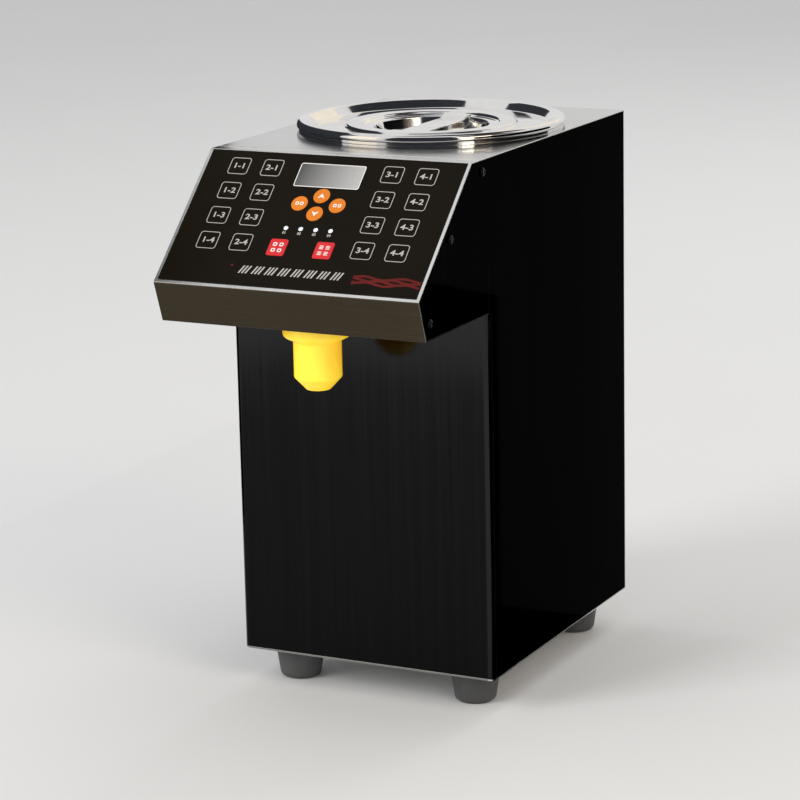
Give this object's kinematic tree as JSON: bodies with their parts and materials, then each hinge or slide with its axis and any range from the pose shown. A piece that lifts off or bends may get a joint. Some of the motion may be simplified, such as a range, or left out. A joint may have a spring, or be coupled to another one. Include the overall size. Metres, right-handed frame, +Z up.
{
  "type": "fructose dispenser",
  "caption": "Tabletop syrup dispenser: sheet-metal body with a sloped keypad hood over a nozzle, a round lift-off lid on top, a geared pump inside and rubber feet.",
  "frame": {"origin": "on the table, in the middle of the machine's bounding box", "axes": "+X to the machine's right seen from its front, +Y to its back, +Z up"},
  "size_m": [0.2448, 0.4229, 0.4845],
  "materials": {
    "black_steel": "satin",
    "brushed_stainless": "satin",
    "gloss_black": "gloss",
    "bronze_steel": "satin",
    "keypad_film": "gloss",
    "display_window": "gloss",
    "display_module": "matte",
    "circuit_board": "satin",
    "polished_stainless": "polished",
    "heater_silicone": "matte",
    "fitting_steel": "satin",
    "clear_hose": "satin",
    "cast_aluminium": "satin",
    "gear_steel": "satin",
    "motor_shell": "satin",
    "yellow_plastic": "gloss",
    "fitting_plastic": "satin",
    "supply_case": "satin",
    "black_plastic": "satin",
    "red_rocker": "gloss",
    "orange_key": "gloss",
    "red_key": "gloss",
    "grey_rubber": "matte",
    "zinc_screws": "satin",
    "black_screws": "satin"
  },
  "bodies": {
    "housing": {"front_panel": "black_steel", "top_plate": "brushed_stainless", "rear_panel": "brushed_stainless", "base_plate": "brushed_stainless", "left_side_panel": "gloss_black", "right_side_panel": "gloss_black", "left_cheek": "gloss_black", "right_cheek": "gloss_black", "hood_floor": "black_steel", "lip_valance": "bronze_steel", "panel_frame": "brushed_stainless", "keypad_film": "keypad_film", "display_window": "display_window", "display_module": "display_module", "control_board": "circuit_board", "tank": "polished_stainless", "heater_band": "heater_silicone", "tank_outlet": "fitting_steel", "supply_hose": "clear_hose", "discharge_hose": "clear_hose", "hose_clamps": "fitting_steel", "pump_housing": "cast_aluminium", "pump_cover": "cast_aluminium", "pump_bracket": "fitting_steel", "pump_motor": "motor_shell", "nozzle": "yellow_plastic", "nozzle_elbow": "fitting_plastic", "power_supply": "supply_case", "power_inlet": "black_plastic", "switch_housing": "black_plastic", "feet": "grey_rubber", "foot_screws": "zinc_screws", "machine_screws": "black_screws"},
    "lid": {"tank_lid": "polished_stainless", "lid_handle": "polished_stainless"},
    "pump_drive": {"drive_gear": "gear_steel"},
    "pump_follower": {"driven_gear": "gear_steel"},
    "rocker": {"switch_rocker": "red_rocker"},
    "key_1_1": {"key_1_1": "keypad_film"},
    "key_1_2": {"key_1_2": "keypad_film"},
    "key_1_3": {"key_1_3": "keypad_film"},
    "key_1_4": {"key_1_4": "keypad_film"},
    "key_2_1": {"key_2_1": "keypad_film"},
    "key_2_2": {"key_2_2": "keypad_film"},
    "key_2_3": {"key_2_3": "keypad_film"},
    "key_2_4": {"key_2_4": "keypad_film"},
    "key_3_1": {"key_3_1": "keypad_film"},
    "key_3_2": {"key_3_2": "keypad_film"},
    "key_3_3": {"key_3_3": "keypad_film"},
    "key_3_4": {"key_3_4": "keypad_film"},
    "key_4_1": {"key_4_1": "keypad_film"},
    "key_4_2": {"key_4_2": "keypad_film"},
    "key_4_3": {"key_4_3": "keypad_film"},
    "key_4_4": {"key_4_4": "keypad_film"},
    "key_up": {"key_up": "orange_key"},
    "key_down": {"key_down": "orange_key"},
    "key_left": {"key_left": "orange_key"},
    "key_right": {"key_right": "orange_key"},
    "key_power": {"key_power": "red_key"},
    "key_clean": {"key_clean": "red_key"}
  },
  "joints": [
    {"name": "lid_lift", "type": "slide", "parent": "housing", "child": "lid", "axis": [0, 0, 1], "range_m": [0, 0.25]},
    {"name": "pump_drive_spin", "type": "hinge", "parent": "housing", "child": "pump_drive", "pos_m": [0, 0.0001, 0.084], "axis": [1, 0, 0], "continuous": true},
    {"name": "pump_follower_spin", "type": "hinge", "parent": "housing", "child": "pump_follower", "pos_m": [0, 0.0001, 0.105], "axis": [1, 0, 0], "continuous": true},
    {"name": "power_rocker", "type": "hinge", "parent": "housing", "child": "rocker", "pos_m": [-0.022, 0.2063, 0.1265], "axis": [1, 0, 0], "range_deg": [-14, 0]},
    {"name": "key_1_1_press", "type": "slide", "parent": "housing", "child": "key_1_1", "axis": [0, 0.6858, -0.7278], "range_m": [0, 0.0004], "stiffness_N_per_m": 4000},
    {"name": "key_1_2_press", "type": "slide", "parent": "housing", "child": "key_1_2", "axis": [0, 0.6858, -0.7278], "range_m": [0, 0.0004], "stiffness_N_per_m": 4000},
    {"name": "key_1_3_press", "type": "slide", "parent": "housing", "child": "key_1_3", "axis": [0, 0.6858, -0.7278], "range_m": [0, 0.0004], "stiffness_N_per_m": 4000},
    {"name": "key_1_4_press", "type": "slide", "parent": "housing", "child": "key_1_4", "axis": [0, 0.6858, -0.7278], "range_m": [0, 0.0004], "stiffness_N_per_m": 4000},
    {"name": "key_2_1_press", "type": "slide", "parent": "housing", "child": "key_2_1", "axis": [0, 0.6858, -0.7278], "range_m": [0, 0.0004], "stiffness_N_per_m": 4000},
    {"name": "key_2_2_press", "type": "slide", "parent": "housing", "child": "key_2_2", "axis": [0, 0.6858, -0.7278], "range_m": [0, 0.0004], "stiffness_N_per_m": 4000},
    {"name": "key_2_3_press", "type": "slide", "parent": "housing", "child": "key_2_3", "axis": [0, 0.6858, -0.7278], "range_m": [0, 0.0004], "stiffness_N_per_m": 4000},
    {"name": "key_2_4_press", "type": "slide", "parent": "housing", "child": "key_2_4", "axis": [0, 0.6858, -0.7278], "range_m": [0, 0.0004], "stiffness_N_per_m": 4000},
    {"name": "key_3_1_press", "type": "slide", "parent": "housing", "child": "key_3_1", "axis": [0, 0.6858, -0.7278], "range_m": [0, 0.0004], "stiffness_N_per_m": 4000},
    {"name": "key_3_2_press", "type": "slide", "parent": "housing", "child": "key_3_2", "axis": [0, 0.6858, -0.7278], "range_m": [0, 0.0004], "stiffness_N_per_m": 4000},
    {"name": "key_3_3_press", "type": "slide", "parent": "housing", "child": "key_3_3", "axis": [0, 0.6858, -0.7278], "range_m": [0, 0.0004], "stiffness_N_per_m": 4000},
    {"name": "key_3_4_press", "type": "slide", "parent": "housing", "child": "key_3_4", "axis": [0, 0.6858, -0.7278], "range_m": [0, 0.0004], "stiffness_N_per_m": 4000},
    {"name": "key_4_1_press", "type": "slide", "parent": "housing", "child": "key_4_1", "axis": [0, 0.6858, -0.7278], "range_m": [0, 0.0004], "stiffness_N_per_m": 4000},
    {"name": "key_4_2_press", "type": "slide", "parent": "housing", "child": "key_4_2", "axis": [0, 0.6858, -0.7278], "range_m": [0, 0.0004], "stiffness_N_per_m": 4000},
    {"name": "key_4_3_press", "type": "slide", "parent": "housing", "child": "key_4_3", "axis": [0, 0.6858, -0.7278], "range_m": [0, 0.0004], "stiffness_N_per_m": 4000},
    {"name": "key_4_4_press", "type": "slide", "parent": "housing", "child": "key_4_4", "axis": [0, 0.6858, -0.7278], "range_m": [0, 0.0004], "stiffness_N_per_m": 4000},
    {"name": "key_up_press", "type": "slide", "parent": "housing", "child": "key_up", "axis": [0, 0.6858, -0.7278], "range_m": [0, 0.0004], "stiffness_N_per_m": 4000},
    {"name": "key_down_press", "type": "slide", "parent": "housing", "child": "key_down", "axis": [0, 0.6858, -0.7278], "range_m": [0, 0.0004], "stiffness_N_per_m": 4000},
    {"name": "key_left_press", "type": "slide", "parent": "housing", "child": "key_left", "axis": [0, 0.6858, -0.7278], "range_m": [0, 0.0004], "stiffness_N_per_m": 4000},
    {"name": "key_right_press", "type": "slide", "parent": "housing", "child": "key_right", "axis": [0, 0.6858, -0.7278], "range_m": [0, 0.0004], "stiffness_N_per_m": 4000},
    {"name": "key_power_press", "type": "slide", "parent": "housing", "child": "key_power", "axis": [0, 0.6858, -0.7278], "range_m": [0, 0.0004], "stiffness_N_per_m": 4000},
    {"name": "key_clean_press", "type": "slide", "parent": "housing", "child": "key_clean", "axis": [0, 0.6858, -0.7278], "range_m": [0, 0.0004], "stiffness_N_per_m": 4000}
  ],
  "couplings": [
    {"joint": "pump_follower_spin", "follows": "pump_drive_spin", "ratio": -1}
  ]
}
